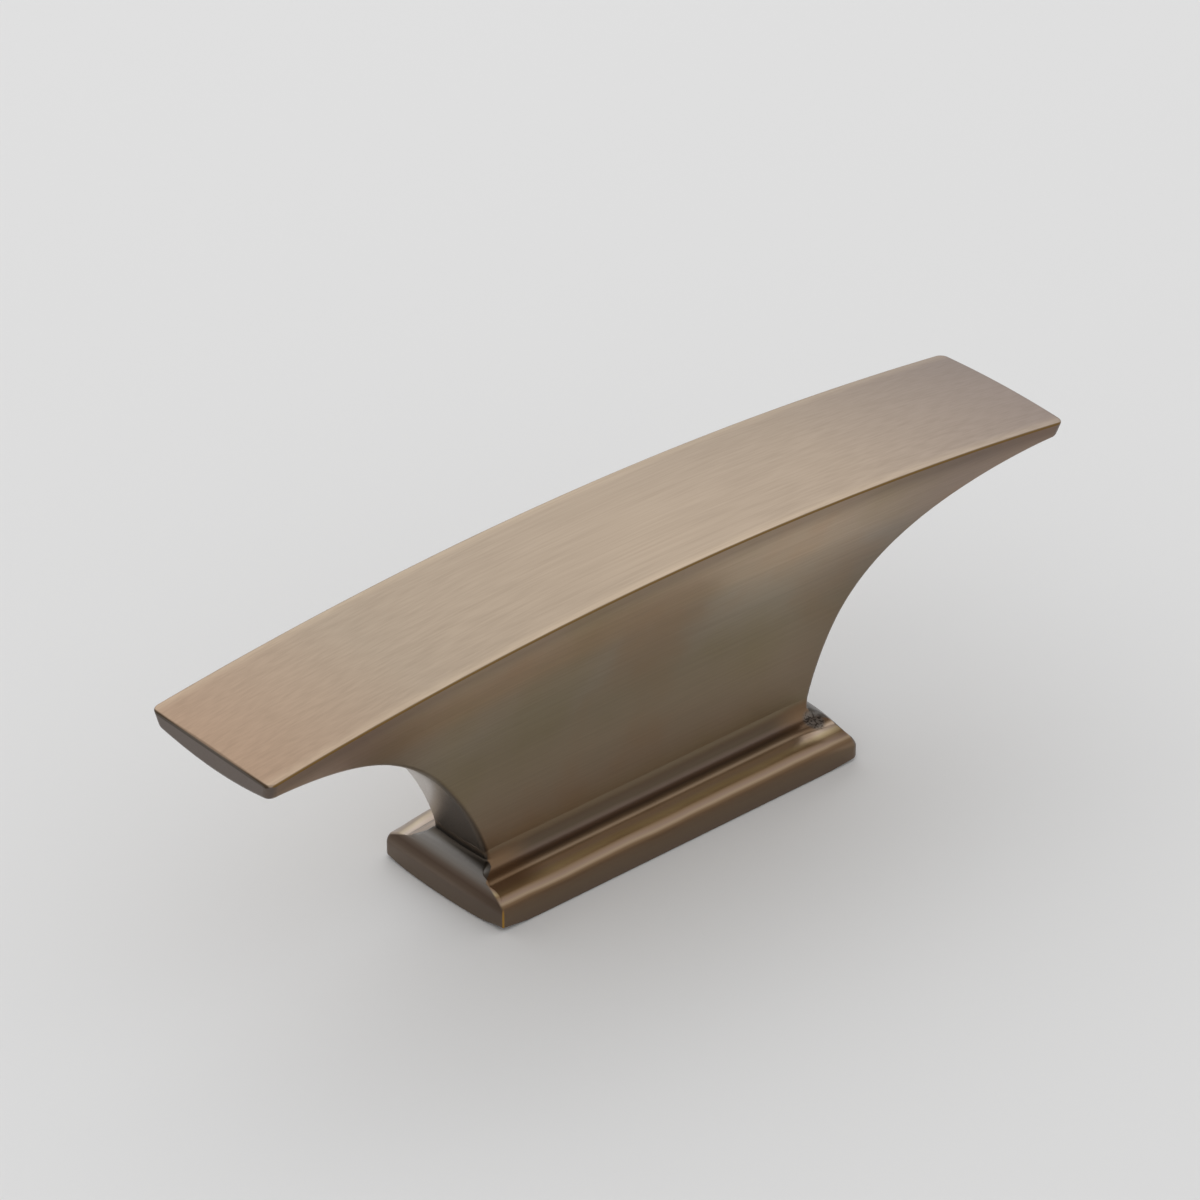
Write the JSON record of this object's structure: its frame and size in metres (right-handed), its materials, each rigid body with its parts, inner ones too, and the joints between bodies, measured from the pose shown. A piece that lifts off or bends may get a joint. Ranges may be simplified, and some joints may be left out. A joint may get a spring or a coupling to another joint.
{
  "type": "cabinet pull",
  "caption": "Arched T-shaped cabinet pull on a moulded rectangular foot: a crowned bar with tapering wings flares out of a narrow neck, fixed with screws from behind.",
  "frame": {"origin": "middle of the foot's underside, where it lies on the drawer front", "axes": "+X along the bar, +Y across the bar, +Z away from the drawer front"},
  "size_m": [0.115, 0.0202, 0.0367],
  "materials": {
    "aged_brass": "satin brushed on top, brown patina on the sides"
  },
  "bodies": {
    "root": {"pull": "aged_brass"}
  },
  "joints": []
}
